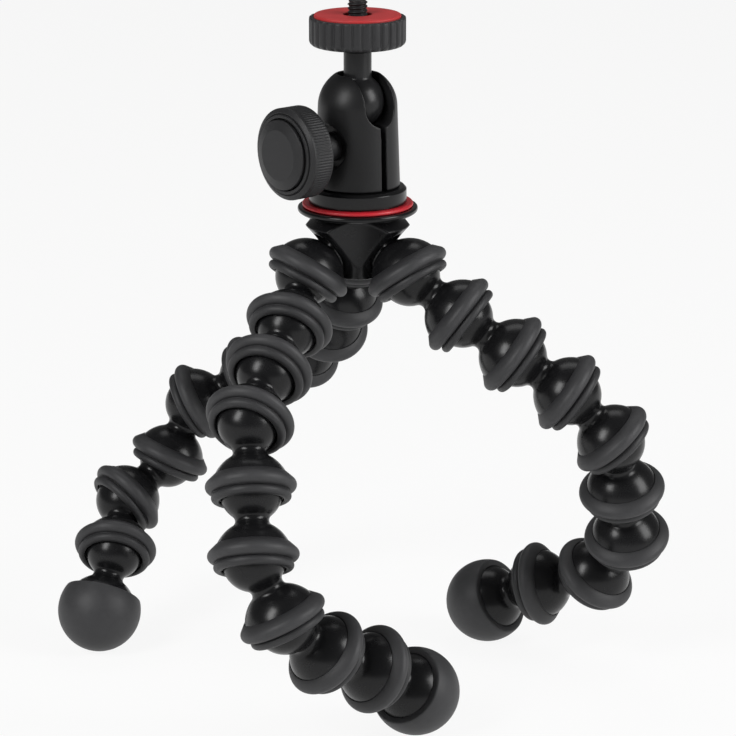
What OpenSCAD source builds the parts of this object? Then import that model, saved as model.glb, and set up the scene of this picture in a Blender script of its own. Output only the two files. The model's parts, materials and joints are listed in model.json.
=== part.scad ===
// Flexible leg tripod with a small ball head.
// Three legs of ball-and-socket links hang from a hub, each link with a rubber grip ring.
// The head is a split clamp: one knob squeezes its two cheeks round the ball.
// Frame: +Z up, floor at z = 0, origin under the middle of the footprint. Millimetres.

/* [Leg links] */
// Diameter of a leg ball
leg_ball_d = 19.5; // [16:0.1:22]
// Room between a leg ball and its socket, all round
ball_gap = 0.1; // [0.05:0.01:0.3]
// Wall of the socket's dome
dome_wall = 2.35; // [1.8:0.05:3]
// Wall of the socket under the grip ring
seat_wall = 1.05; // [0.8:0.05:1.6]
// How far behind the ball's centre the dome ends in a shoulder
shoulder_back = 3.7; // [3:0.1:5]
// How far a socket's lip reaches past the ball's centre
lip_reach = 2.2; // [1.8:0.1:3]
// Diameter of the neck between ball and dome
neck_d = 10.4; // [8:0.1:12]
// Radius of the neck's hollow curve
neck_curve = 2; // [1:0.1:3]

/* [Grip rings and feet] */
// Diameter across the ring's main bead
ring_d = 28.1; // [27:0.1:30]
// Thickness of the main bead
bead_d = 4.2; // [3.4:0.1:5]
// Diameter across the second bead
low_ring_d = 24.6; // [24:0.1:26]
// Thickness of the second bead
low_bead_d = 3; // [2.4:0.1:3.4]
// Wall of the ring in the groove between the beads
groove_wall = 0.5; // [0.3:0.05:0.8]
// Room between the ring's mouth and the leg ball
mouth_gap = 0.2; // [0.1:0.05:0.6]
// Room between a grip ring or a cap and what it is slipped over
slip_gap = 0.05; // [0.02:0.01:0.1]
// Thickness of a foot's rubber cap
cap_wall = 1.8; // [1:0.1:3]
// How far the cap reaches back past the foot's centre
cap_reach = 3; // [1:0.1:6]

/* [Hub] */
// Distance of each hub socket's centre from the column
arm_reach = 19.2; // [18:0.1:24]
// Depth of the hub sockets' centres below the head
arm_drop = 22.4; // [20:0.1:28]
// Tilt of the hub sockets from straight down
arm_tilt = 35; // [25:1:45]
// Gap between the hub and the parts that stand in its arches
hub_gap = 0.35; // [0.2:0.05:0.8]
// Diameter of the hub's neck under the flange
hub_neck_d = 26.5; // [24:0.5:30]
// Diameter of the hub's shoulder
hub_shoulder_d = 34; // [32:0.5:38]
// Diameter of the hub's foot between the legs
hub_foot_d = 13; // [10:0.5:16]
// Height of the slope from neck to shoulder
hub_slope_h = 3.4; // [2.5:0.1:6]
// Radius of the hub's hollow flank
hub_flank_r = 45; // [30:1:90]
// Height of the hub
hub_h = 20.8; // [18:0.1:24]
// Diameter of the pins that hold the sockets in the hub
tenon_d = 8; // [6:0.5:9]
// Length of those pins behind the dome
tenon_l = 2.6; // [2:0.1:4]

/* [Flange and colour ring] */
// Diameter of the flange
flange_d = 38.6; // [36:0.1:44]
// Thickness of the flange
flange_h = 2.7; // [2:0.1:4]
// Diameter of the coloured ring
band_d = 35.6; // [34:0.1:38]
// Thickness of the coloured ring
band_h = 1.3; // [1:0.1:3]
// Diameter of the flange's spigot inside the coloured ring
flange_spigot_d = 20; // [14:0.5:24]

/* [Ball head] */
// Diameter of the pan base
base_d = 31.4; // [30:0.1:34]
// Height of the pan base
base_h = 5.1; // [4:0.1:7]
// Room between the turning housing and what it turns on
pan_gap = 0.2; // [0.1:0.05:0.4]
// Diameter of the pan spigot
pan_spigot_d = 9; // [7:0.1:11]
// Housing diameter at its base
housing_d = 27.2; // [26:0.1:30]
// Housing diameter at its dome
housing_top_d = 25.4; // [24:0.1:28]
// Height of the housing's top rim above the pan base's underside
housing_top = 41.4; // [40:0.1:44]
// Thickness of the housing's floor
floor_h = 3; // [2:0.1:4]
// Diameter of the hollow under the ball
chamber_d = 12.8; // [11:0.1:15]
// Height of the head's ball above the pan base's underside
ball_z = 32.6; // [31:0.1:34]
// Diameter of the head's ball
head_ball_d = 17.4; // [16:0.1:19]
// Diameter of the stem
stem_d = 8.9; // [8:0.1:10]
// Radius of the fillet between ball and stem
stem_fillet = 1.2; // [0.6:0.1:2]
// Diameter of the housing's round mouth
mouth_d = 12.9; // [12:0.1:14]
// Width of the notch that the stem drops into
notch_w = 11.6; // [11:0.1:13]
// Width of the clamp's slit
slit_w = 2; // [1:0.1:3]
// Turn of the head from straight ahead
head_yaw = 40; // [0:1:360]

/* [Knob] */
// Height of the knob's axis above the pan base's underside
knob_z = 19.2; // [17:0.1:21]
// Knob diameter
knob_d = 29.2; // [28:0.1:32]
// Width of the knob's rim
knob_w = 8.4; // [7:0.1:11]
// Distance of the knob's back from the column
knob_back = 21.6; // [20:0.1:26]
// Diameter of the knob's sleeve
sleeve_d = 9.4; // [8:0.1:11]
// Diameter of the round pocket that the sleeve stands in
pocket_d = 14.4; // [12:0.1:16]
// Distance of the pocket's floor from the column
pocket_floor = 10.1; // [9.5:0.1:12]
// Diameter of the knob's cap
knob_cap_d = 22.2; // [20:0.1:25]
// Diameter of the cap's flat face
knob_face_d = 16; // [14:0.1:19]
// Width of the step round the cap
step_w = 1.5; // [0.8:0.1:2]
// Height of that step
step_h = 0.6; // [0.3:0.1:1.2]
// How far the cap stands out of the rim
knob_cap_proud = 2.6; // [1.5:0.1:4]
// How far the clamp screw's end stays inside the housing
clamp_end = 2; // [1:0.1:4]
// Diameter of the clamp screw
clamp_screw_d = 5; // [4:0.1:6]

/* [Camera seat] */
// Height of the lock wheel's underside above the pan base's underside
wheel_z = 50.4; // [49:0.1:54]
// Lock wheel diameter
wheel_d = 30.8; // [29:0.1:34]
// Lock wheel height
wheel_h = 9.2; // [8:0.1:12]
// Radius of the wheel's lower edge
wheel_round = 2; // [1:0.1:3]
// Number of grooves round the wheel
flutes = 30; // [20:1:48]
// Diameter of the cutter for one groove
flute_d = 1.8; // [1:0.1:2.6]
// How deep the grooves are
flute_depth = 0.6; // [0.3:0.05:1]
// Diameter of the pad
pad_d = 27.6; // [25:0.1:28]
// Thickness of the pad
pad_h = 1.6; // [1:0.1:2.4]
// How deep the pad lies in the wheel
pad_sunk = 0.8; // [0.4:0.1:1.2]
// Diameter of the hole in the pad
pad_hole_d = 9; // [7:0.1:12]
// Camera screw, 1/4 inch
camera_screw_d = 6.35; // [6.35, 9.525]
// How far the camera screw stands out of the pad
camera_screw_out = 4.6; // [4:0.1:6]
// How deep the camera screw's shank sits in the stem
camera_screw_in = 6; // [4:0.1:8]
// How much thinner the shank is than the thread
shank_relief = 0.35; // [0.2:0.05:1]

/* [Hidden] */
$fn = 96;

// Pose of the legs, chosen by hand. Each link points down its own [swing, lean] in degrees:
// swing to the right of straight down, lean towards the viewer. The front leg ends on the floor,
// and the other two feet find the floor along their own heading.
front_pose = [[-23, 51], [-32, 58], [-26, 56], [3, 32], [3, 31], [26, 6], [43, -26], [57, -34], [45, -37]];
right_pose = [[53, 10], [54, 4], [55, 4], [42, -1], [10, -21], [8, -26], [-32, -26], [-72, -24]];
back_pose = [[-18, -30], [-20, -46], [-36, -42], [-61, -13], [-62, -2], [-25, 11], [-52, 30], [-10, 54]];
right_heading = 146;
back_heading = 250;
front_azimuth = 210;
right_azimuth = -30;
back_azimuth = 90;

fit = 0.1;
edge = 0.6;
far = 200;

// Leg link: the neck's hollow curve touches both the ball and the dome
leg_ball_r = leg_ball_d / 2;
socket_r = leg_ball_r + ball_gap;
dome_r = socket_r + dome_wall;
seat_r = socket_r + seat_wall;
neck_mid_r = neck_d / 2 + neck_curve;
neck_mid_z = sqrt(pow(leg_ball_r + neck_curve, 2) - pow(neck_mid_r, 2));
link_pitch = neck_mid_z + sqrt(pow(dome_r + neck_curve, 2) - pow(neck_mid_r, 2));
ring_r = ring_d / 2;
bead_r = bead_d / 2;
bead_z = bead_r - shoulder_back;
low_bead_r = low_bead_d / 2;
low_bead_z = bead_z + bead_r + low_bead_r - fit;
mouth_r = leg_ball_r + mouth_gap;
foot_r = dome_r + slip_gap + cap_wall;
cap_mid_r = foot_r - cap_wall / 2;
cap_edge = asin((cap_reach - cap_wall / 2) / cap_mid_r);

// Leg poses: each leg is a row of ball centres, from its hub socket to its foot
function sum(v, i = 0) = i < len(v) ? v[i] + sum(v, i + 1) : 0;
function aim(swing, lean) = [sin(swing) * cos(lean), -sin(lean), -cos(swing) * cos(lean)];
function aims(pose) = [for (p = pose) aim(p[0], p[1])];
function drop(dirs) = link_pitch * sum([for (d = dirs) -d[2]]);
function foot_aim(fall, heading) = [
    sqrt(1 - fall * fall) * cos(heading), sqrt(1 - fall * fall) * sin(heading), -fall];
function add_foot(dirs, heading) =
    concat(dirs, [foot_aim((leg_drop - drop(dirs)) / link_pitch, heading)]);
function arm_dir(azimuth) =
    [sin(arm_tilt) * cos(azimuth), sin(arm_tilt) * sin(azimuth), -cos(arm_tilt)];
function arm_end(azimuth) = [arm_reach * cos(azimuth), arm_reach * sin(azimuth), -arm_drop];
function joints(start, dirs, i = 0) =
    i < len(dirs) ? concat([start], joints(start + link_pitch * dirs[i], dirs, i + 1)) : [start];

leg_drop = drop(aims(front_pose));
front_dirs = aims(front_pose);
right_dirs = add_foot(aims(right_pose), right_heading);
back_dirs = add_foot(aims(back_pose), back_heading);
front_joints = joints(arm_end(front_azimuth), front_dirs);
right_joints = joints(arm_end(right_azimuth), right_dirs);
back_joints = joints(arm_end(back_azimuth), back_dirs);
links = len(front_pose) - 1;

// Where the column stands, so that the origin is under the middle of the footprint
all_joints = concat(front_joints, right_joints, back_joints);
xs = [for (p = all_joints) p[0]];
ys = [for (p = all_joints) p[1]];
column_at = [-(min(xs) + max(xs)) / 2, -(min(ys) + max(ys)) / 2, arm_drop + leg_drop + foot_r];

// Heights under the pan base
band_z = -band_h;
flange_z = band_z - flange_h;
hub_z = flange_z - hub_h;
band_bore_r = flange_spigot_d / 2 + fit / 2;
hub_shoulder = [hub_shoulder_d / 2, flange_z - hub_slope_h];
hub_foot = [hub_foot_d / 2, hub_z];
hub_flank = hub_foot - hub_shoulder;
hub_flank_out = [-hub_flank[1], hub_flank[0]] / norm(hub_flank);
hub_flank_mid = (hub_shoulder + hub_foot) / 2
    + hub_flank_out * sqrt(pow(hub_flank_r, 2) - pow(norm(hub_flank) / 2, 2));
flange_edge_r = flange_d / 2 - flange_h / 3;
bolt_d = 5;
bolt_head_d = 8;
bolt_head_h = 3;
bolt_top = base_h - 1.5;

// Ball head
head_ball_r = head_ball_d / 2;
housing_z = base_h + pan_gap;
spigot_top = housing_z + floor_h + pan_gap;
washer_h = 1;
washer_d = chamber_d - 1;
pan_screw_d = 4;
pan_head_d = 7.5;
pan_head_h = 3;
fillet_mid_r = stem_d / 2 + stem_fillet;
fillet_mid_z = ball_z + sqrt(pow(head_ball_r + stem_fillet, 2) - pow(fillet_mid_r, 2));
housing_top_r = housing_top_d / 2;
dome_z = housing_top - sqrt(housing_top_r * housing_top_r - pow(mouth_d / 2 + edge, 2));
notch_z = ball_z - 1;

// Knob, along its own axis from the column outwards
rim_front = knob_back + knob_w;
knob_seat = rim_front - 1.2;
cap_front = rim_front + knob_cap_proud;
screw_end = housing_d / 2 - clamp_end;

// Camera seat
pad_z = wheel_z + wheel_h - pad_sunk;
pad_top = pad_z + pad_h;
wheel_gap = 0.15;
stem_top = wheel_z - wheel_gap;
camera_shank_d = camera_screw_d - shank_relief;

leg_names = ["front", "right", "back"];
leg_dirs = [front_dirs, right_dirs, back_dirs];
leg_joints = [front_joints, right_joints, back_joints];
leg_azimuths = [front_azimuth, right_azimuth, back_azimuth];

// Placing
module on_column() translate(column_at) children();
module on_head() on_column() rotate(head_yaw) children();
module along(d) rotate([0, acos(d[2]), atan2(d[1], d[0])]) children();
module at_joint(leg, i) on_column() translate(leg_joints[leg][i]) along(leg_dirs[leg][i]) children();
module at_arm(azimuth) translate(arm_end(azimuth)) along(arm_dir(azimuth)) children();
module on_knob() on_head() translate([0, 0, knob_z]) rotate([0, -90, 0]) children();

// Keeps what lies right of the axis of a revolved outline
module right_half() intersection() {
    children();
    translate([0, -far]) square([far, 2 * far]);
}

// Leg link, revolved about its own axis: ball at the origin, socket one pitch along
module dome_2d() {
    difference() {
        circle(dome_r);
        translate([-far, -shoulder_back]) square(2 * far);
    }
    translate([-seat_r, -dome_r / 2]) square([2 * seat_r, dome_r / 2 + lip_reach]);
}
module neck_2d() difference() {
    polygon([[0, 0], [neck_mid_r, neck_mid_z], [0, link_pitch]]);
    translate([neck_mid_r, neck_mid_z]) circle(neck_curve);
}
module link_2d() right_half() difference() {
    union() {
        circle(leg_ball_r);
        neck_2d();
        translate([0, link_pitch]) dome_2d();
    }
    translate([0, link_pitch]) circle(socket_r);
}
// Grip ring: two round beads on a thin sleeve, which wraps the socket's lip
module ring_2d() difference() {
    union() {
        translate([ring_r - bead_r, bead_z]) circle(bead_r);
        translate([low_ring_d / 2 - low_bead_r, low_bead_z]) circle(low_bead_r);
        translate([seat_r, bead_z]) square([slip_gap + groove_wall, low_bead_z - bead_z]);
    }
    translate([0, -far]) square([seat_r + slip_gap, far + lip_reach + slip_gap]);
    translate([0, -far]) square([mouth_r, 2 * far]);
    translate([0, -far]) square([far, far - shoulder_back + slip_gap]);
}
module foot_2d() right_half() {
    circle(leg_ball_r);
    neck_2d();
    translate([0, link_pitch]) circle(dome_r);
}
module foot_cap_2d() right_half() {
    difference() {
        circle(foot_r);
        circle(dome_r + slip_gap);
        rotate(-cap_edge) translate([0, -far]) square(far);
    }
    rotate(-cap_edge) translate([cap_mid_r, 0]) circle(cap_wall / 2);
}

module leg_link() {
    rotate_extrude() link_2d();
    translate([0, 0, link_pitch]) rotate_extrude() ring_2d();
}

// Hub
module hub_2d() difference() {
    polygon([[0, flange_z], [hub_neck_d / 2, flange_z], hub_shoulder, hub_foot, [0, hub_z]]);
    translate(hub_flank_mid) circle(hub_flank_r);
}
module hub() on_column() color("#1c1c1e") difference() {
    rotate_extrude() hub_2d();
    for (azimuth = leg_azimuths) at_arm(azimuth) {
        sphere(dome_r + hub_gap);
        translate([0, 0, -shoulder_back - hub_gap]) cylinder(r = ring_r + hub_gap, h = far);
        translate([0, 0, -dome_r - tenon_l]) cylinder(d = tenon_d + fit, h = dome_r);
    }
    translate([0, 0, hub_z - 1]) cylinder(d = bolt_d + fit, h = hub_h + 2);
    translate([0, 0, hub_z - 1]) cylinder(d = bolt_head_d + fit, h = bolt_head_h + 1);
}
module flange_2d() right_half() {
    polygon([[0, flange_z], [hub_neck_d / 2 + 1, flange_z], [flange_edge_r, flange_z + flange_h / 3],
        [flange_edge_r, band_z], [0, band_z]]);
    translate([flange_edge_r, band_z - flange_h / 3]) circle(flange_h / 3);
    translate([0, band_z - 1]) square([flange_spigot_d / 2, band_h + 1]);
}
module flange() on_column() color("#161616") difference() {
    rotate_extrude() flange_2d();
    translate([0, 0, flange_z - 1]) cylinder(d = bolt_d + fit, h = flange_h + band_h + 2);
}
module colour_ring_2d() difference() {
    translate([band_bore_r, band_z]) square([band_d / 2 - band_bore_r, band_h]);
    translate([band_d / 2, 0]) rotate(45) square(edge, center = true);
}
module colour_ring() on_column() color("#c62030") rotate_extrude() colour_ring_2d();
module hub_bolt() on_column() color("#3a3a3c") {
    translate([0, 0, hub_z + edge]) cylinder(d = bolt_head_d, h = bolt_head_h - edge);
    translate([0, 0, hub_z + edge]) cylinder(d = bolt_d, h = bolt_top - hub_z - edge);
}
module hub_socket(azimuth) on_column() at_arm(azimuth) color("#1a1a1c") {
    rotate_extrude() right_half() difference() {
        dome_2d();
        circle(socket_r);
    }
    translate([0, 0, -dome_r - tenon_l]) cylinder(d = tenon_d, h = tenon_l + dome_wall * 0.6);
}
module hub_socket_ring(azimuth) on_column() at_arm(azimuth) color("#3c3c3e") rotate_extrude() ring_2d();

// Ball head
module pan_base() on_column() color("#202022") difference() {
    union() {
        rotate_extrude() difference() {
            square([base_d / 2, base_h]);
            translate([base_d / 2, base_h]) rotate(45) square(2 * edge, center = true);
        }
        cylinder(d = pan_spigot_d, h = spigot_top);
    }
    translate([0, 0, -1]) cylinder(d = bolt_d + fit, h = bolt_top + 1);
    translate([0, 0, base_h - 0.5]) cylinder(d = pan_screw_d + fit, h = spigot_top);
}
module pan_washer() on_column() color("#8a8a8c") translate([0, 0, spigot_top]) difference() {
    cylinder(d = washer_d, h = washer_h);
    translate([0, 0, -1]) cylinder(d = pan_screw_d + fit, h = washer_h + 2);
}
module pan_screw() on_column() color("#8a8a8c") {
    translate([0, 0, spigot_top + washer_h]) cylinder(d = pan_head_d, h = pan_head_h);
    translate([0, 0, base_h]) cylinder(d = pan_screw_d, h = spigot_top + washer_h - base_h + 1);
}
module housing_2d() right_half() {
    polygon([[0, housing_z], [housing_d / 2, housing_z], [housing_top_r, dome_z], [0, dome_z]]);
    intersection() {
        translate([0, dome_z]) circle(housing_top_r);
        translate([0, dome_z - 1]) square([far, housing_top - dome_z + 1]);
    }
}
module housing() on_head() color("#242426") difference() {
    rotate_extrude() housing_2d();
    translate([0, 0, ball_z]) sphere(head_ball_r + fit);
    translate([0, 0, housing_z + floor_h]) cylinder(d = chamber_d, h = ball_z - housing_z - floor_h);
    translate([0, 0, housing_z - 1]) cylinder(d = pan_spigot_d + 2 * fit, h = floor_h + 2);
    translate([0, 0, ball_z]) cylinder(d = mouth_d, h = far);
    translate([0, 0, notch_z]) rotate([90, 0, 0]) cylinder(d = notch_w, h = far);
    translate([-notch_w / 2, -far, notch_z]) cube([notch_w, far, far]);
    translate([-slit_w / 2, -far, housing_z - 1]) cube([slit_w, far, ball_z - housing_z]);
    translate([0, 0, knob_z]) rotate([0, -90, 0]) {
        translate([0, 0, pocket_floor]) cylinder(d = pocket_d, h = far);
        cylinder(d = clamp_screw_d + 4 * fit, h = far);
        translate([0, 0, -screw_end - 1]) cylinder(d = clamp_screw_d + 2 * fit, h = far);
    }
}
module stud_2d() right_half() {
    translate([0, ball_z]) circle(head_ball_r);
    translate([0, ball_z]) square([stem_d / 2, stem_top - ball_z]);
    difference() {
        polygon([[0, ball_z], [fillet_mid_r, fillet_mid_z], [0, fillet_mid_z]]);
        translate([fillet_mid_r, fillet_mid_z]) circle(stem_fillet);
    }
}
module ball_stud() on_head() color("#2a2a2c") difference() {
    rotate_extrude() stud_2d();
    translate([0, 0, stem_top - camera_screw_in]) cylinder(d = camera_shank_d + fit, h = far);
}

// Knob, with its axis along +Z here
module clamp_knob() on_knob() color("#262628") difference() {
    union() {
        rotate_extrude() difference() {
            translate([0, knob_back]) square([knob_d / 2, knob_w]);
            for (z = [knob_back, rim_front])
                translate([knob_d / 2, z]) rotate(45) square(2 * edge, center = true);
        }
        translate([0, 0, pocket_floor + fit]) cylinder(d = sleeve_d, h = knob_back - pocket_floor);
        translate([0, 0, knob_seat])
            cylinder(d = knob_cap_d + 2 * step_w, h = rim_front + step_h - knob_seat);
    }
    translate([0, 0, knob_seat]) cylinder(d = knob_cap_d + 2 * fit, h = far);
    cylinder(d = clamp_screw_d + fit, h = knob_seat - 2);
}
module knob_cap() on_knob() color("#343436") {
    translate([0, 0, knob_seat]) cylinder(d = knob_cap_d, h = cap_front - 1 - knob_seat);
    translate([0, 0, cap_front - 1]) cylinder(d1 = knob_cap_d, d2 = knob_face_d, h = 1);
}
module clamp_screw() on_knob() color("#8a8a8c")
    translate([0, 0, -screw_end]) cylinder(d = clamp_screw_d, h = screw_end + knob_seat - 2);

// Camera seat
module wheel_2d() right_half() difference() {
    union() {
        translate([0, wheel_z + wheel_round]) square([wheel_d / 2, wheel_h - wheel_round]);
        translate([0, wheel_z]) square([wheel_d / 2 - wheel_round, wheel_h]);
        translate([wheel_d / 2 - wheel_round, wheel_z + wheel_round]) circle(wheel_round);
    }
    translate([wheel_d / 2, wheel_z + wheel_h]) rotate(45) square(edge, center = true);
}
module lock_wheel() on_head() color("#2c2c2e") difference() {
    rotate_extrude() wheel_2d();
    translate([0, 0, pad_z]) cylinder(d = pad_d + fit, h = far);
    translate([0, 0, wheel_z - 1]) cylinder(d = camera_shank_d + 4 * fit, h = far);
    for (i = [0:flutes - 1]) rotate(360 * i / flutes)
        translate([wheel_d / 2 + flute_d / 2 - flute_depth, 0, 0]) cylinder(d = flute_d, h = far, $fn = 24);
}
module camera_pad() on_head() color("#cf3a3a") translate([0, 0, pad_z]) difference() {
    cylinder(d = pad_d, h = pad_h);
    translate([0, 0, -1]) cylinder(d = pad_hole_d, h = far);
}
module camera_screw() on_head() color("#1e1e20") {
    translate([0, 0, stem_top - camera_screw_in])
        cylinder(d = camera_shank_d, h = camera_screw_in + pad_top - stem_top);
    translate([0, 0, pad_top])
        cylinder(d = camera_screw_d, h = camera_screw_out - edge);
    translate([0, 0, pad_top + camera_screw_out - edge])
        cylinder(d1 = camera_screw_d, d2 = camera_screw_d - 2 * edge, h = edge);
}

hub();
flange();
colour_ring();
hub_bolt();
for (leg = [0:2]) {
    hub_socket(leg_azimuths[leg]);
    hub_socket_ring(leg_azimuths[leg]);
    for (i = [1:links])
        color("#1e1e20") at_joint(leg, i - 1) leg_link();
    color("#1e1e20") at_joint(leg, links) rotate_extrude() foot_2d();
    color("#48484a") at_joint(leg, links) translate([0, 0, link_pitch]) rotate_extrude() foot_cap_2d();
}
pan_base();
pan_washer();
pan_screw();
housing();
ball_stud();
clamp_knob();
knob_cap();
clamp_screw();
lock_wheel();
camera_pad();
camera_screw();
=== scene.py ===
# %% [markdown]
# # Dressing a flexible leg tripod
# The solid model comes first: it fixes every size, body and joint. This lesson loads it as a frame and
# makes the surfaces that the eye sees: moulded links, rubber grip rings, a clamp head and a red pad.
# Nothing here moves a solid. A finer piece takes a solid's place and rides on the same body.

# %% Load the frame
import json
import math

import bmesh
import bpy
from mathutils import Matrix, Vector


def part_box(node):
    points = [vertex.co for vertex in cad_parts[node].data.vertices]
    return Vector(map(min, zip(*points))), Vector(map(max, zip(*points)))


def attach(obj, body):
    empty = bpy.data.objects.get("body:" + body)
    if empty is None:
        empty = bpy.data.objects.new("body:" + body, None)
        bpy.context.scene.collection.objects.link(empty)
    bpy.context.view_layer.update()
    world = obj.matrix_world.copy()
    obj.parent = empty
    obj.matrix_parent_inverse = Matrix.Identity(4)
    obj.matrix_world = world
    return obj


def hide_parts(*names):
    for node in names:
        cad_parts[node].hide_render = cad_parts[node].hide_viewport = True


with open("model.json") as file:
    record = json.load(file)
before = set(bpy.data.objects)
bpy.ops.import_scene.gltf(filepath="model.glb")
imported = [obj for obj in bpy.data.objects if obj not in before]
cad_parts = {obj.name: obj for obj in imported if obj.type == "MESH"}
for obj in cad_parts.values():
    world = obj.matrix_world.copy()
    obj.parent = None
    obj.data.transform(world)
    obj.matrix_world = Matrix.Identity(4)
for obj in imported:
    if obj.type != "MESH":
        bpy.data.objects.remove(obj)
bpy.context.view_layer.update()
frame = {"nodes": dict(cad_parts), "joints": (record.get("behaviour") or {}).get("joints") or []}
MM = 0.001
joint_at = {joint["name"]: Vector(joint["pos_m"]) for joint in frame["joints"]}

# %% [markdown]
# ## Sums on sockets
# A procedural finish is mostly small sums: noise times a share, plus a base level. Wiring each Math node
# by hand hides the sum, so one class wraps a socket and lets Python's own signs place the nodes.
# Every other node comes from one method, which sets the node up first and then feeds its sockets.

# %% A socket that can be added and multiplied
class Level:
    """A value on a shader socket. Sums with it add Math nodes to the same tree."""

    def __init__(self, tree, socket):
        self.tree = tree
        self.socket = socket

    def sum_with(self, operation, first, second):
        node = self.tree.nodes.new("ShaderNodeMath")
        node.operation = operation
        for slot, term in enumerate((first, second)):
            if isinstance(term, Level):
                self.tree.links.new(term.socket, node.inputs[slot])
            else:
                node.inputs[slot].default_value = term
        return Level(self.tree, node.outputs[0])

    def __add__(self, other):
        return self.sum_with("ADD", self, other)

    def __sub__(self, other):
        return self.sum_with("SUBTRACT", self, other)

    def __rsub__(self, other):
        return self.sum_with("SUBTRACT", other, self)

    def __mul__(self, other):
        return self.sum_with("MULTIPLY", self, other)

    def __truediv__(self, other):
        return self.sum_with("DIVIDE", self, other)

    def __pow__(self, other):
        return self.sum_with("POWER", self, other)

    __radd__ = __add__
    __rmul__ = __mul__

    def clipped(self):
        """The same level, held between 0 and 1."""
        return self.sum_with("MINIMUM", self.sum_with("MAXIMUM", self, 0.0), 1.0)


# %% One finish, with its node tree
class Finish:
    """A material under construction, with its Principled shader at hand."""

    def __init__(self, name):
        self.material = bpy.data.materials.new(name)
        self.material.use_nodes = True
        self.tree = self.material.node_tree
        self.shader = self.tree.nodes["Principled BSDF"]
        self.place = self.node("ShaderNodeTexCoord", out="Object")

    def node(self, kind, settings=None, sockets=None, out=0):
        """Adds a node: its settings first, then the values or links of its sockets."""
        node = self.tree.nodes.new(kind)
        for key, value in (settings or {}).items():
            setattr(node, key, value)
        for key, value in (sockets or {}).items():
            self.feed(node.inputs[key], value)
        return Level(self.tree, node.outputs[out])

    def feed(self, target, value):
        if isinstance(value, Level):
            self.tree.links.new(value.socket, target)
        else:
            target.default_value = value

    def noise(self, size_mm, detail=2.0, stretch=None):
        """Soft random blotches about this size, from 0 to 1. stretch draws them out along an axis."""
        where = self.place
        if stretch:
            where = self.node("ShaderNodeVectorMath", {"operation": "MULTIPLY"}, {0: where, 1: stretch})
        sockets = {"Vector": where, "Scale": 1 / (size_mm * MM), "Detail": detail}
        return self.node("ShaderNodeTexNoise", {"noise_dimensions": "3D"}, sockets, "Fac")

    def mix(self, share, one, other):
        """A colour between two, by a share from 0 to 1."""
        return self.node("ShaderNodeMix", {"data_type": "RGBA"}, {0: share, 6: one, 7: other}, 2)

    def axis_distance(self):
        """How far a point lies from the piece's own Z axis, in millimetres."""
        parts = self.tree.nodes.new("ShaderNodeSeparateXYZ")
        self.tree.links.new(self.place.socket, parts.inputs[0])
        x = Level(self.tree, parts.outputs["X"])
        y = Level(self.tree, parts.outputs["Y"])
        return (x * x + y * y) ** 0.5 * (1 / MM)

    def bump(self, height, depth_mm, strength):
        sockets = {"Height": height, "Distance": depth_mm * MM, "Strength": strength}
        self.feed(self.shader.inputs["Normal"], self.node("ShaderNodeBump", None, sockets))

    def set(self, **sockets):
        """Feeds the shader's sockets: Base_Color stands for Base Color, and so on."""
        for key, value in sockets.items():
            self.feed(self.shader.inputs[key.replace("_", " ")], value)
        return self.material


print("socket sums ready")

# %% [markdown]
# ## Moulded black plastic
# The links are injection moulded and come out of a polished tool, so they carry broad soft highlights.
# Handling leaves fine rubbed patches. A low, wide noise changes the roughness, and a finer one gives
# the skin its faint grain. Black is never zero: a little grey lets light model the form.

# %% Finish of links, sockets and hub
def grey(level, blue=0.0):
    return (level, level, level * (1 + blue), 1.0)


def moulded_black():
    finish = Finish("moulded_black")
    rubbed = finish.noise(7.0, 3.0)
    grain = finish.noise(0.35, 2.0)
    finish.bump(grain, 0.02, 0.22)
    colour = finish.mix(rubbed, grey(0.006, 0.08), grey(0.011, 0.08))
    rough = 0.19 + 0.10 * rubbed + 0.04 * grain
    return finish.set(Base_Color=colour, Roughness=rough, Specular_IOR_Level=0.28)


black_plastic = moulded_black()
print(black_plastic.name, len(black_plastic.node_tree.nodes), "nodes")

# %% [markdown]
# ## Grip rubber
# The rings and feet are soft rubber: dark grey, dull, with dust rubbed pale on the crests. The distance
# from the ring's own axis tells a crest from a groove, so wear follows the shape and needs no picture.

# %% Finish of the grip rings and feet
def grip_rubber(name, worn_from, worn_to):
    """Rubber that pales where it stands out, between two distances from its axis in mm."""
    finish = Finish(name)
    mottle = finish.noise(2.2, 4.0)
    speck = finish.noise(0.28, 2.0)
    standing = ((finish.axis_distance() - worn_from) / (worn_to - worn_from)).clipped()
    worn = (standing * (0.35 + 0.5 * mottle)).clipped()
    colour = finish.mix(worn, grey(0.026, 0.06), grey(0.056, 0.05))
    finish.bump(speck + 0.6 * mottle, 0.03, 0.35)
    return finish.set(Base_Color=colour, Roughness=0.46 + 0.14 * speck, Specular_IOR_Level=0.4)


ring_rubber = grip_rubber("grip_rubber", 11.6, 14.0)
foot_rubber = grip_rubber("foot_rubber", 2.0, 14.5)
print(ring_rubber.name, foot_rubber.name)

# %% [markdown]
# ## Coated metal
# The clamp head is cast, blasted and coated black. Its skin is a very fine even grain that spreads the
# highlights.

# %% Finishes of the head
def coated_metal(name, dark, light, rough, grain_mm, shine=0.3):
    finish = Finish(name)
    grain = finish.noise(grain_mm, 2.0)
    cloud = finish.noise(9.0, 2.0)
    finish.bump(grain, 0.02, 0.3)
    colour = finish.mix(0.6 * cloud + 0.4 * grain, grey(dark, 0.06), grey(light, 0.06))
    level = rough + 0.08 * cloud + 0.06 * grain
    return finish.set(Base_Color=colour, Roughness=level, Specular_IOR_Level=shine)


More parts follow.
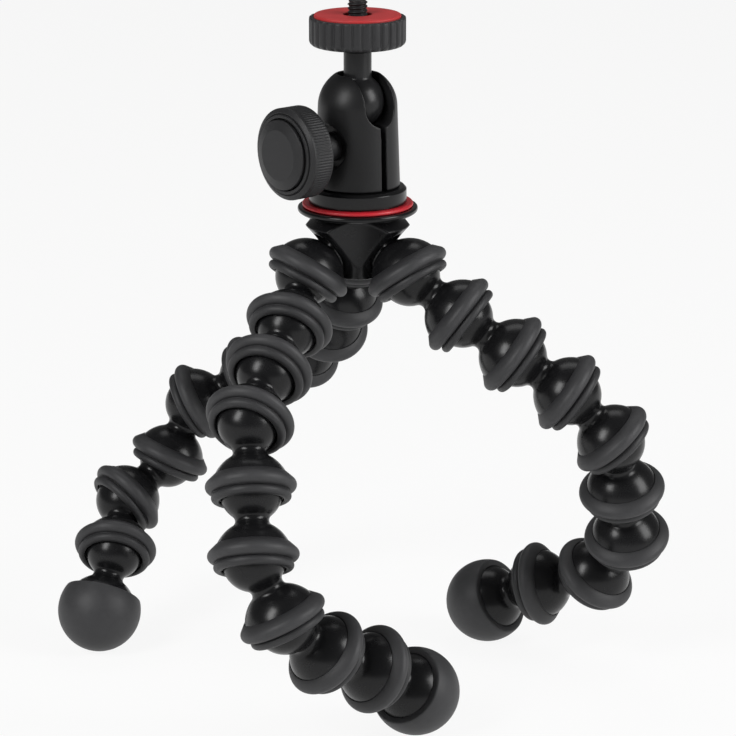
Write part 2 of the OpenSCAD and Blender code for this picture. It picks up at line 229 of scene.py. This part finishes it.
housing_coat = coated_metal("housing_coat", 0.008, 0.013, 0.34, 0.25)
base_coat = coated_metal("base_coat", 0.005, 0.008, 0.14, 0.25)
stud_coat = coated_metal("stud_coat", 0.010, 0.016, 0.24, 0.3)
screw_black = coated_metal("screw_black", 0.010, 0.024, 0.34, 0.4)
satin = coated_metal("satin_plastic", 0.016, 0.024, 0.40, 0.22)
wheel_skin = coated_metal("wheel_skin", 0.020, 0.032, 0.38, 0.22)
print("head finishes ready")

# %% [markdown]
# ## Red ring and red pad
# The ring is anodised and catches a clean highlight. The pad is soft rubber that dust makes paler.
# Both keep their own grain so that neither reads as flat paint.

# %% Finishes of the red pieces and of plain steel
def red_finish(name, deep, pale, rough, grain_mm, depth):
    finish = Finish(name)
    cloud = finish.noise(4.0, 3.0)
    grain = finish.noise(grain_mm, 2.0)
    finish.bump(grain, depth, 0.3)
    colour = finish.mix(0.7 * cloud + 0.3 * grain, deep, pale)
    return finish.set(Base_Color=colour, Roughness=rough + 0.12 * grain)


def plain_steel():
    finish = Finish("plain_steel")
    drawn = finish.noise(0.6, 3.0, (1.0, 1.0, 8.0))
    colour = finish.mix(drawn, grey(0.36), grey(0.52))
    return finish.set(Base_Color=colour, Metallic=1.0, Roughness=0.26 + 0.2 * drawn)


ring_red = red_finish("ring_red", (0.50, 0.012, 0.022, 1), (0.60, 0.022, 0.034, 1), 0.32, 0.3, 0.01)
pad_red = red_finish("pad_red", (0.48, 0.020, 0.022, 1), (0.60, 0.040, 0.042, 1), 0.50, 0.2, 0.03)
steel = plain_steel()
print(ring_red.name, pad_red.name, steel.name)

# %% [markdown]
# ## Turning an outline
# Nearly every piece here is turned on a lathe or moulded in a round tool, so one helper turns an outline
# of radius and height. Corners get true arcs: a sharp edge has no highlight, and real edges always do.
# An outline point may carry a third number, the share of a dent that cuts it: that makes ribs and threads.

# %% Outline and turning helpers
def arc(mid, radius, start, end, steps=12):
    """Points of an arc in the plane of radius and height. Angles are in degrees from +radius."""
    angles = [math.radians(start + (end - start) * k / steps) for k in range(steps + 1)]
    return [(mid[0] + radius * math.cos(a), mid[1] + radius * math.sin(a)) for a in angles]


def soften(corners, closed=False, steps=5):
    """Rounds an outline. Each corner is (radius, height) or (radius, height, rounding)."""
    points = []
    for i, corner in enumerate(corners):
        here = Vector(corner[:2])
        rounding = corner[2] if len(corner) > 2 else 0
        if not rounding or (not closed and i in (0, len(corners) - 1)):
            points.append(tuple(here))
            continue
        back = Vector(corners[i - 1][:2]) - here
        ahead = Vector(corners[(i + 1) % len(corners)][:2]) - here
        half = back.angle(ahead) / 2
        cut = min(rounding / math.tan(half), 0.48 * back.length, 0.48 * ahead.length)
        inward = (back.normalized() + ahead.normalized()).normalized()
        mid = here + inward * (cut / math.cos(half))
        first = here + back.normalized() * cut - mid
        last = here + ahead.normalized() * cut - mid
        start = math.atan2(first.y, first.x)
        sweep = (math.atan2(last.y, last.x) - start + math.pi) % (2 * math.pi) - math.pi
        points += arc(mid, first.length, math.degrees(start), math.degrees(start + sweep), steps)
    return points


def turned(name, outline, finish, steps=96, closed=False, dent=None):
    """Turns an outline in mm about Z. dent(angle, height) is how deep a rib or thread cuts there."""
    shape = bmesh.new()
    rows = []
    for point in outline:
        share = point[2] if len(point) > 2 else 0.0
        row = []
        for k in range(steps if point[0] > 1e-6 else 1):
            turn = 2 * math.pi * k / steps
            radius = point[0] - (share * dent(turn, point[1]) if share else 0.0)
            spot = (radius * math.cos(turn), radius * math.sin(turn), point[1])
            row.append(shape.verts.new(Vector(spot) * MM))
        rows.append(row)
    for low, high in zip(rows, rows[1:] + rows[:1] if closed else rows[1:]):
        for k in range(steps):
            after = (k + 1) % steps
            corners = [low[k % len(low)], low[after % len(low)], high[after % len(high)], high[k % len(high)]]
            shape.faces.new(list(dict.fromkeys(corners)))
    bmesh.ops.recalc_face_normals(shape, faces=shape.faces)
    mesh = bpy.data.meshes.new(name)
    shape.to_mesh(mesh)
    shape.free()
    mesh.shade_smooth()
    mesh.materials.append(finish)
    return mesh


def fit(name, mesh, body, replaced=(), place=Matrix.Identity(4)):
    """Puts a mesh in place as a piece that rides on a body and stands for some solids."""
    made = bpy.data.objects.new(name, mesh)
    bpy.context.scene.collection.objects.link(made)
    made.matrix_world = place
    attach(made, body)
    if replaced:
        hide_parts(*replaced)
    return made


def along(start, direction):
    """A place whose Z axis points along a direction."""
    return Matrix.Translation(start) @ direction.to_track_quat("Z", "Y").to_matrix().to_4x4()


print("turning helpers ready")

# %% [markdown]
# ## The leg link
# A link is a ball, a hollow neck and a domed socket in one moulding. The neck's curve has to touch ball
# and dome without a corner, so its centre comes from two distances, as a draughtsman would find it.
# The inside of the socket is modelled too, because it shows when a leg is bent.

# %% Link sizes and outline
ball_r = 9.75
ball_play = 0.1
dome_wall = 2.35
seat_wall = 1.05
neck_r = 5.2
socket_r = ball_r + ball_play
dome_r = socket_r + dome_wall
seat_r = socket_r + seat_wall
shoulder = 3.7
lip = 2.2
neck_curve = 2.0
neck_mid_r = neck_r + neck_curve
neck_mid_z = math.sqrt((ball_r + neck_curve) ** 2 - neck_mid_r ** 2)
pitch = neck_mid_z + math.sqrt((dome_r + neck_curve) ** 2 - neck_mid_r ** 2)


def ball_and_neck():
    """From the tip of the ball to where the neck meets the dome."""
    leave = math.degrees(math.atan2(neck_mid_z, neck_mid_r))
    arrive = math.degrees(math.atan2(pitch - neck_mid_z, -neck_mid_r))
    ball = arc((0, 0), ball_r, -90, leave, 28)
    return [(0, -ball_r)] + ball[1:] + arc((neck_mid_r, neck_mid_z), neck_curve, leave + 180, arrive, 10)[1:]


def dome_from(start, end, mid_z, steps=16):
    return arc((0, mid_z), dome_r, start, end, steps)


def socket_from(mid_z):
    """The seat under the grip ring, the lip and the hollow, down to the hollow's deepest point."""
    mouth = math.degrees(math.asin(lip / socket_r))
    mouth_r = socket_r * math.cos(math.radians(mouth))
    rim = soften([(seat_r, mid_z - shoulder), (seat_r, mid_z + lip, 0.3), (mouth_r, mid_z + lip)])
    hollow = arc((0, mid_z), socket_r, mouth, -90, 24)
    return rim + hollow[1:-1] + [(0, mid_z - socket_r)]


dome_meets_neck = math.degrees(math.atan2(neck_mid_z - pitch, neck_mid_r))
dome_meets_seat = -math.degrees(math.asin(shoulder / dome_r))
link_outline = ball_and_neck() + dome_from(dome_meets_neck, dome_meets_seat, pitch)[1:] + socket_from(pitch)
link_mesh = turned("leg_link", link_outline, black_plastic)
print("link pitch", round(pitch, 2), "mm,", len(link_mesh.polygons), "faces")

# %% [markdown]
# ## The grip ring
# A rubber ring is stretched over the socket: a fat bead behind, a thinner bead that guards the lip, and a
# groove where the two meet. A skirt runs from the fat bead down onto the dome and ends in a thin edge.
# The beads are plain circles, so the outline is arcs and a tangent from the skirt's edge to the bead.

# %% Grip ring
slip = 0.05
ring_r = 14.05
bead_r = 2.1
bead_z = bead_r - shoulder
low_ring_r = 12.3
low_bead_r = 1.5
bead_overlap = 0.1
groove_wall = 0.55
mouth_play = 0.2
low_bead_z = bead_z + bead_r + low_bead_r - bead_overlap
groove_r = seat_r + groove_wall
mouth_r = ball_r + mouth_play
skirt_z = -5.0
skirt_edge = 0.25


def ring_points():
    """Round the ring: up the inside, over the lip, round both beads and down the skirt on the dome."""
    under_r = dome_r + slip
    dip = math.degrees(math.acos((groove_r - low_ring_r + low_bead_r) / low_bead_r))
    tip = math.degrees(math.acos((mouth_r - low_ring_r + low_bead_r) / low_bead_r))
    inside = [(seat_r + slip, slip - shoulder), (seat_r + slip, lip + slip), (mouth_r, lip + slip)]
    small = arc((low_ring_r - low_bead_r, low_bead_z), low_bead_r, tip, -dip, 18)
    edge = Vector((math.sqrt(under_r ** 2 - skirt_z ** 2) + skirt_edge, skirt_z))
    to_bead = Vector((ring_r - bead_r, bead_z)) - edge
    lean = math.atan2(to_bead.x, to_bead.y) + math.asin(bead_r / to_bead.length)
    large = arc((ring_r - bead_r, bead_z), bead_r, 90, -math.degrees(lean), 22)
    skirt_from = math.degrees(math.asin(skirt_z / under_r))
    skirt_to = math.degrees(math.asin((slip - shoulder) / under_r))
    return inside + small + large + [tuple(edge)] + arc((0, 0), under_r, skirt_from, skirt_to, 5)


ring_mesh = turned("grip_ring", ring_points(), ring_rubber, closed=True)
print("grip ring", round(2 * ring_r, 2), "mm across")

# %% [markdown]
# ## Laying out the legs
# Each link runs from its own joint to the next, so the joints alone place the whole chain. Shared meshes
# keep the file small: twenty-four links use one mesh, and every copy rides on its own body.

# %% Links and rings along the joints
legs = ["front", "right", "back"]
links = 8
for leg in legs:
    for i in range(1, links + 1):
        start = joint_at[f"{leg}_bend_{i}"]
        place = along(start, joint_at[f"{leg}_bend_{i + 1}"] - start)
        node = f"{leg}_link_{i}"
        body = f"{leg}_{i}"
        fit(f"{leg}_shell_{i}", link_mesh, body, [node], place)
        ring_place = place @ Matrix.Translation((0, 0, pitch * MM))
        fit(f"{leg}_grip_{i}", ring_mesh, body, [node], ring_place)
print("links placed", links * len(legs))

# %% [markdown]
# ## The feet
# The last piece of a leg ends in a plain dome under a rubber cap. No joint marks its far end, but the
# solid is round about its axis, so the middle of its surface must lie on that axis.

# %% Feet and their caps
foot_wall = 1.85
foot_r = dome_r + foot_wall
cap_back = 6.0
cap_play = 0.05
rim_turn = 4
foot_outline = ball_and_neck() + dome_from(dome_meets_neck, 90, pitch, 30)[1:-1] + [(0, pitch + dome_r)]
foot_mesh = turned("leg_foot", foot_outline, black_plastic)


def foot_cap_outline():
    outer = -math.degrees(math.asin(cap_back / foot_r))
    inner_r = dome_r + cap_play
    inner = -math.degrees(math.asin(cap_back / inner_r))
    inside = arc((0, 0), inner_r, 90, inner + rim_turn, 24)
    outside = arc((0, 0), foot_r, outer + rim_turn, 90, 32)
    rim = soften([
        (inner_r * math.cos(math.radians(inner)), -cap_back + 0.6),
        (inner_r * math.cos(math.radians(inner)), -cap_back, 0.2),
        (foot_r * math.cos(math.radians(outer)), -cap_back, 0.7),
        outside[0],
    ])
    return [(0, inner_r)] + inside[1:] + rim[1:-1] + outside[:-1] + [(0, foot_r)]


cap_mesh = turned("foot_cap", foot_cap_outline(), foot_rubber)


def surface_middle(node):
    """The middle of a solid's surface, each face counted by its area."""
    faces = frame["nodes"][node].data.polygons
    area = sum(face.area for face in faces)
    return sum((face.center * face.area for face in faces), Vector()) / area


for leg in legs:
    start = joint_at[f"{leg}_bend_{links + 1}"]
    place = along(start, surface_middle(f"{leg}_foot") - start)
    fit(f"{leg}_foot_shell", foot_mesh, f"{leg}_end", [f"{leg}_foot"], place)
    cap_place = place @ Matrix.Translation((0, 0, pitch * MM))
    fit(f"{leg}_foot_rubber", cap_mesh, f"{leg}_end", [f"{leg}_foot_cap"], cap_place)
print("feet", len(legs))

# %% [markdown]
# ## The hub's sockets
# Three domes without necks hang from the hub. They are the link's own socket, set along the first
# bend of each leg. The way they point comes from the solid: from the middle of its surface to the joint.

# %% Sockets on the hub
socket_outline = [(0, -dome_r)] + dome_from(-90, dome_meets_seat, 0, 24)[1:] + socket_from(0)
socket_mesh = turned("hub_socket", socket_outline, black_plastic)
for leg in legs:
    start = joint_at[f"{leg}_bend_1"]
    place = along(start, start - surface_middle(f"socket_{leg}"))
    fit(f"hub_socket_{leg}", socket_mesh, "base", [f"socket_{leg}"], place)
    fit(f"hub_grip_{leg}", ring_mesh, "base", [f"socket_ring_{leg}"], place)
print("hub sockets", len(legs))

# %% [markdown]
# ## Softening a cut solid
# The hub and the clamp housing are castings with cuts through them, so they can't be turned. A voxel
# remesh rebuilds a copy of the solid as an even skin, and a few rounds of smoothing round every edge
# alike, which is just how a casting's edges look. A bevel would stumble where curved cuts meet.

# %% Clamp housing
def softened(node, name, finish, body, voxel_mm, rounds, cutters=()):
    """A copy of a solid, cut by other shapes, with an even skin and rounded edges."""
    copy = bpy.data.objects.new(name, frame["nodes"][node].data.copy())
    bpy.context.scene.collection.objects.link(copy)
    for cutter in cutters:
        cut = copy.modifiers.new("Cut", "BOOLEAN")
        cut.operation = "DIFFERENCE"
        cut.object = cutter
    skin = copy.modifiers.new("Skin", "REMESH")
    skin.mode = "VOXEL"
    skin.voxel_size = voxel_mm * MM
    ease = copy.modifiers.new("Ease", "SMOOTH")
    ease.factor = 0.5
    ease.iterations = rounds
    seen = copy.evaluated_get(bpy.context.evaluated_depsgraph_get())
    mesh = bpy.data.meshes.new_from_object(seen)
    for spent in (copy, *cutters):
        bpy.data.objects.remove(spent)
    mesh.name = name
    mesh.shade_smooth()
    mesh.materials.clear()
    mesh.materials.append(finish)
    print(name, len(mesh.polygons), "faces")
    return fit(name, mesh, body, [node])


housing_voxel = 0.28
housing_rounds = 7
softened("housing", "clamp_housing", housing_coat, "head", housing_voxel, housing_rounds)

# %% [markdown]
# ## Valleys of the hub
# Seen from above the hub has three lobes, one over each socket, with a hollow face between neighbours.
# A wide cylinder on the line between two legs cuts each face. It leans outward as the hub widens upward,
# so that the face runs in one sweep from the flange to the foot.

# %% Hub with its valleys
deck = joint_at["head_pan"]
valley_r = 30.0
valley_middle_r = 10.2
valley_middle_z = -14.0
valley_lean = math.radians(17)
valley_azimuths = (30, 150, 270)
valley_length = 0.1
valley_sides = 256
hub_voxel = 0.3
hub_rounds = 16


def valley_cutter(azimuth):
    shape = bmesh.new()
    size = {"radius1": valley_r * MM, "radius2": valley_r * MM, "depth": valley_length}
    bmesh.ops.create_cone(shape, cap_ends=True, segments=valley_sides, **size)
    mesh = bpy.data.meshes.new("valley")
    shape.to_mesh(mesh)
    shape.free()
    cutter = bpy.data.objects.new("valley", mesh)
    bpy.context.scene.collection.objects.link(cutter)
    away = valley_middle_r + valley_r / math.cos(valley_lean)
    heading = Matrix.Rotation(math.radians(azimuth), 4, "Z")
    middle = Matrix.Translation(Vector((away, 0, valley_middle_z)) * MM)
    lean = Matrix.Rotation(valley_lean, 4, "Y")
    cutter.matrix_world = Matrix.Translation(deck) @ heading @ middle @ lean
    return cutter


cutters = [valley_cutter(azimuth) for azimuth in valley_azimuths]
softened("hub", "hub_casting", black_plastic, "base", hub_voxel, hub_rounds, cutters)

# %% [markdown]
# ## Flange, red ring and pan base
# Under the head lie three turned rings. Their heights and widths are measured on the solids. Small
# roundings matter here: each gives a thin bright line.

# %% Measuring the column's solids
column = Matrix.Translation(deck)
up = Vector((0, 0, 1))


def span(node, way=up):
    """From where to where a solid reaches along a direction from the deck, in mm."""
    reach = [(vertex.co - deck).dot(way) / MM for vertex in frame["nodes"][node].data.vertices]
    return min(reach), max(reach)


def half_width(node):
    """The radius of an upright round solid, in mm."""
    low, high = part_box(node)
    return (high[0] - low[0]) / 2 / MM


print("deck at", [round(v / MM, 1) for v in deck])

# %% Turned rings of the column
fine_steps = 128
flange_low = span("flange")[0]
flange_r = half_width("flange")
band_low, band_high = span("colour_ring")
band_r = half_width("colour_ring")
band_bore_r = 10.05
pan_r = half_width("pan_base")
pan_top = span("housing")[0] - 0.2
spigot_r = 4.5
spigot_top = span("pan_base")[1]
flange_outline = soften([
    (0, flange_low), (flange_r - 5, flange_low, 0.8), (flange_r - 1.2, flange_low + 0.4, 1.6),
    (flange_r, flange_low + 1.2, 0.9), (flange_r, band_low - slip, 0.8), (0, band_low - slip)])
band_outline = soften([
    (band_bore_r, band_low), (band_r, band_low, 0.5), (band_r, band_high - slip, 0.6),
    (band_bore_r, band_high - slip)], closed=True)
pan_outline = soften([
    (0, 0), (pan_r, 0, 0.25), (pan_r, pan_top - 0.8, 0.4), (pan_r - 0.8, pan_top, 0.4),
    (spigot_r, pan_top), (spigot_r, spigot_top), (0, spigot_top)])
flange_mesh = turned("flange_dish", flange_outline, base_coat, fine_steps)
band_mesh = turned("red_band", band_outline, ring_red, fine_steps, True)
pan_mesh = turned("pan_disc", pan_outline, base_coat, fine_steps)
fit("flange_dish", flange_mesh, "base", ["flange"], column)
fit("red_band", band_mesh, "base", ["colour_ring"], column)
fit("pan_disc", pan_mesh, "base", ["pan_base"], column)
print("flange", round(2 * flange_r, 1), "ring", round(2 * band_r, 1), "pan base", round(2 * pan_r, 1))

# %% [markdown]
# ## Ball stud
# A polished ball carries the camera seat on a short stem. A fillet keeps the stem from cracking, and the
# stem is turned down just below the wheel, so that the wheel spins without rubbing on it.

# %% Ball stud
head_ball_z = (joint_at["ball_tilt"] - deck).z / MM
head_ball_r = head_ball_z - span("ball_stud")[0]
stem_r = 4.45
stem_top = span("ball_stud")[1]
fillet = 1.2
fillet_z = head_ball_z + math.sqrt((head_ball_r + fillet) ** 2 - (stem_r + fillet) ** 2)
leave = math.degrees(math.atan2(fillet_z - head_ball_z, stem_r + fillet))
stem_end = soften([
    (stem_r, fillet_z), (stem_r, stem_top - 1.7, 0.3), (stem_r - 0.5, stem_top - 1.2, 0.2),
    (stem_r - 0.8, stem_top - 1.1, 0.1), (stem_r - 0.8, stem_top), (0, stem_top)])
stud_outline = (
    [(0, head_ball_z - head_ball_r)]
    + arc((0, head_ball_z), head_ball_r, -90, leave, 30)[1:]
    + arc((stem_r + fillet, fillet_z), fillet, leave + 180, 180, 6)[1:]
    + stem_end[1:])
stud_mesh = turned("ball_and_stem", stud_outline, stud_coat)
fit("ball_and_stem", stud_mesh, "ball", ["ball_stud"], column)
print("ball", round(2 * head_ball_r, 1), "mm, stem", round(stem_top - head_ball_z, 1), "mm above its middle")

# %% [markdown]
# ## Clamp knob
# The knob's rim is ribbed for the fingers. A rib is a shallow dent repeated round the rim, so the same
# turning helper makes it. The ribs fade before the front edge, which is bevelled and catches the light.
# A stepped ring and a dished groove frame the cap.

# %% Knob and its cap
knob_ribs = 96
rib_depth = 0.17
knob_w = 8.4
step_h = 0.6
sleeve_r = 4.7
face_r = 8.0
cap_middle = (Vector(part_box("knob_cap")[0]) + Vector(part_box("knob_cap")[1])) / 2 - deck
knob_out = Vector((cap_middle.x, cap_middle.y, 0)).normalized()
knob_place = along(joint_at["knob_turn"], knob_out)
knob_low, knob_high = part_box("clamp_knob")
knob_r = (knob_high[2] - knob_low[2]) / 2 / MM
cap_r = (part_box("knob_cap")[1][2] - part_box("knob_cap")[0][2]) / 2 / MM
sleeve_low, step_front = span("clamp_knob", knob_out)
cap_seat, cap_front = span("knob_cap", knob_out)
rim_front = step_front - step_h
rim_back = rim_front - knob_w


def rib(turn, height):
    return rib_depth * (1 - math.cos(knob_ribs * turn))


knob_outline = (
    soften([
        (0, sleeve_low), (sleeve_r, sleeve_low, 0.3), (sleeve_r, rim_back, 0.5),
        (knob_r - 0.6, rim_back)])
    + [(knob_r - 0.3, rim_back + 0.08), (knob_r - 0.1, rim_back + 0.3)]
    + [(knob_r, rim_back + 0.7, 0.0), (knob_r, rim_back + 1.2, 1.0)]
    + [(knob_r, rim_back + 2.0 + k, 1.0) for k in range(4)]
    + [(knob_r, rim_front - 2.1, 1.0), (knob_r, rim_front - 1.6, 0.0)]
    + soften([
        (knob_r, rim_front - 1.6), (knob_r, rim_front - 0.8, 0.2), (knob_r - 1.3, rim_front, 0.25),
        (cap_r + 1.9, rim_front, 0.15), (cap_r + 1.6, rim_front - 0.5, 0.1), (cap_r + 1.5, step_front, 0.25),
        (cap_r + 0.4, step_front, 0.2), (cap_r + 0.2, cap_seat), (0, cap_seat)])[1:])
cap_outline = soften([
    (0, cap_seat), (cap_r, cap_seat), (cap_r, cap_front - 1.0, 0.25),
    (face_r, cap_front, 0.3), (0, cap_front)])
knob_mesh = turned("knob_rim", knob_outline, satin, 4 * knob_ribs, dent=rib)
fit("knob_rim", knob_mesh, "knob", ["clamp_knob"], knob_place)
face_mesh = turned("knob_face", cap_outline, satin, fine_steps)
fit("knob_face", face_mesh, "knob", ["knob_cap"], knob_place)
print("knob", round(2 * knob_r, 1), "mm,", knob_ribs, "ribs")

# %% [markdown]
# ## Lock wheel, pad and camera screw
# The wheel's thirty narrow grooves leave broad ridges between them, so the dent is a sharp dip and not a
# wave. The screw's thread is the same trick with a twist: its dent depends on height as well as angle.

# %% Camera seat
flutes = 30
flute_depth = 0.62
flute_width = 0.17
thread_pitch = 25.4 / 20
thread_depth = 0.62
thread_crest = 0.12
screw_r = 3.175


def flute(turn, height):
    phase = (turn * flutes / (2 * math.pi) + 0.5) % 1 - 0.5
    return flute_depth * math.exp(-(phase / flute_width) ** 2)


def thread(turn, height):
    phase = (height / thread_pitch - turn / (2 * math.pi)) % 1
    return thread_depth * max(0.0, (1 + thread_crest) * abs(2 * phase - 1) - thread_crest)


wheel_r = half_width("lock_wheel")
wheel_low, wheel_top = span("lock_wheel")
wheel_bore_r = 3.3
wheel_round = 2.0
pad_r = half_width("camera_pad")
pad_low, pad_top = span("camera_pad")
pad_hole_r = 4.5
wheel_curve = arc((wheel_r - wheel_round, wheel_low + wheel_round), wheel_round, -90, 0, 8)
wheel_rise = wheel_top - wheel_low - wheel_round - 0.7
wheel_side = [wheel_low + wheel_round + wheel_rise * k / 4 for k in range(1, 5)]
wheel_outline = (
    [(wheel_bore_r, wheel_low)]
    + [(r, z, k / 8) for k, (r, z) in enumerate(wheel_curve)]
    + [(wheel_r, z, 1.0) for z in wheel_side]
    + [(wheel_r - 0.05, wheel_top - 0.35, 0.9), (wheel_r - 0.2, wheel_top - 0.1, 0.6)]
    + [(wheel_r - 0.5, wheel_top, 0.2)]
    + soften([
        (wheel_r - 0.5, wheel_top), (pad_r + 0.1, wheel_top, 0.2), (pad_r + 0.1, pad_low),
        (wheel_bore_r, pad_low)])[1:])
pad_outline = soften([
    (pad_hole_r, pad_low), (pad_r, pad_low), (pad_r, pad_top, 0.45), (pad_hole_r, pad_top, 0.3)], closed=True)
screw_rows = 58
shank_r = 2.9
shank_low, screw_high = span("camera_screw")
thread_low = pad_low + 0.2
thread_high = screw_high - 0.1
screw_body = []
for k in range(screw_rows + 1):
    height = thread_low + (thread_high - thread_low) * k / screw_rows
    run_out = min(1.0, (thread_high - height) / 0.7)
    screw_body.append((screw_r - 0.5 * (1 - run_out), height, run_out))
screw_outline = (
    [(0, shank_low), (shank_r, shank_low), (shank_r, thread_low - 0.3)]
    + screw_body
    + [(screw_r - 0.9, screw_high), (0, screw_high)])
wheel_mesh = turned("wheel_rim", wheel_outline, wheel_skin, 16 * flutes, True, flute)
fit("wheel_rim", wheel_mesh, "wheel", ["lock_wheel"], column)
pad_mesh = turned("seat_pad", pad_outline, pad_red, fine_steps, True)
fit("seat_pad", pad_mesh, "wheel", ["camera_pad"], column)
screw_mesh = turned("threaded_screw", screw_outline, screw_black, 96, dent=thread)
fit("threaded_screw", screw_mesh, "ball", ["camera_screw"], column)
print("wheel", round(2 * wheel_r, 1), "mm, thread pitch", thread_pitch, "mm")

# %% [markdown]
# ## Solids that stay
# The bolt, washer and screws inside are right as they are. They only need a finish.

# %% Plain steel on the inner fasteners
for name in ("hub_bolt", "pan_washer", "pan_screw", "clamp_screw"):
    solid = frame["nodes"][name].data
    solid.materials.clear()
    solid.materials.append(steel)
print("steel on four fasteners")

# %% [markdown]
# ## Floor and light
# A product shot on white: softboxes left and right of the camera leave a darker band down the middle of
# each dome, a weak one behind marks the upper edges, and the floor fills the undersides. What the camera
# sees, straight or in a gloss, is a whiter floor, so the picture is white without more light on the
# object, and the shadow stays. The world is dim all round, a little less so near the horizon.

# %% Floor
floor_half = 6.0
glow_share = 0.9
floor_mesh = bpy.data.meshes.new("floor")
floor_corners = [(-floor_half, -floor_half, 0), (floor_half, -floor_half, 0),
                 (floor_half, floor_half, 0), (-floor_half, floor_half, 0)]
floor_mesh.from_pydata(floor_corners, [], [(0, 1, 2, 3)])
floor = bpy.data.objects.new("floor", floor_mesh)
bpy.context.scene.collection.objects.link(floor)


def floor_white():
    finish = Finish("floor_white")
    rays = finish.tree.nodes.new("ShaderNodeLightPath")
    seen = Level(finish.tree, rays.outputs["Is Camera Ray"])
    seen = seen + Level(finish.tree, rays.outputs["Is Glossy Ray"])
    seen = seen + Level(finish.tree, rays.outputs["Is Transmission Ray"])
    glow = finish.node("ShaderNodeEmission", None, {"Color": (1, 1, 1, 1), "Strength": 1.0})
    finish.set(Base_Color=(0.9, 0.9, 0.89, 1), Roughness=0.9, Specular_IOR_Level=0.0)
    plain = Level(finish.tree, finish.shader.outputs[0])
    both = finish.node("ShaderNodeMixShader", None, {0: seen.clipped() * glow_share, 1: plain, 2: glow})
    finish.feed(finish.tree.nodes["Material Output"].inputs["Surface"], both)
    return finish.material


floor_mesh.materials.append(floor_white())
print("floor", 2 * floor_half, "m wide")

# %% World and softboxes
aim_drop = 0.0558
aim_right = 0.0033
sky_least = 0.09
sky_rise = 0.06
aim = deck - Vector((0, 0, aim_drop)) + Vector((aim_right, 0, 0))


def softbox(name, azimuth, elevation, distance, width, height, watts):
    """An area lamp that faces the object. Azimuth is to the right of the camera, in degrees."""
    lamp = bpy.data.lights.new(name, "AREA")
    lamp.shape = "RECTANGLE"
    lamp.size = width
    lamp.size_y = height
    lamp.energy = watts
    turn, rise = math.radians(azimuth), math.radians(elevation)
    way = Vector((math.sin(turn) * math.cos(rise), -math.cos(turn) * math.cos(rise), math.sin(rise)))
    made = bpy.data.objects.new(name, lamp)
    bpy.context.scene.collection.objects.link(made)
    made.matrix_world = along(aim + way * distance, way)
    return made


softbox("softbox_left", -46, 34, 1.2, 0.36, 0.62, 8.0)
softbox("softbox_right", 68, 26, 1.2, 0.55, 0.8, 10.0)
softbox("softbox_back", 180, 62, 1.6, 1.0, 0.6, 3.0)

world = bpy.data.worlds.new("studio")
bpy.context.scene.world = world
world.use_nodes = True
background = world.node_tree.nodes["Background"]
background.inputs["Color"].default_value = (1, 1, 1, 1)
facing = world.node_tree.nodes.new("ShaderNodeSeparateXYZ")
heading = world.node_tree.nodes.new("ShaderNodeTexCoord")
world.node_tree.links.new(heading.outputs["Generated"], facing.inputs[0])
height_of_ray = Level(world.node_tree, facing.outputs["Z"])
level = sky_least + sky_rise * (1 - height_of_ray).clipped()
world.node_tree.links.new(level.socket, background.inputs["Strength"])
print("three softboxes and a dim sky")

# %% [markdown]
# ## Camera
# A long lens a metre away, looking down sixteen degrees, keeps the perspective mild, as in the photograph.

# %% Camera
view_distance = 1.01
view_elevation = 16.0
field = 0.2397
sensor_mm = 36.0
lens_data = bpy.data.cameras.new("camera")
lens_data.sensor_width = sensor_mm
lens_data.lens = sensor_mm * view_distance / field
camera = bpy.data.objects.new("camera", lens_data)
bpy.context.scene.collection.objects.link(camera)
rise = math.radians(view_elevation)
way = Vector((0, -math.cos(rise), math.sin(rise)))
camera.location = aim + way * view_distance
camera.rotation_euler = (math.radians(90 - view_elevation), 0, 0)
bpy.context.scene.camera = camera
bpy.context.scene.view_settings.view_transform = "Standard"
print("lens", round(lens_data.lens, 1), "mm")
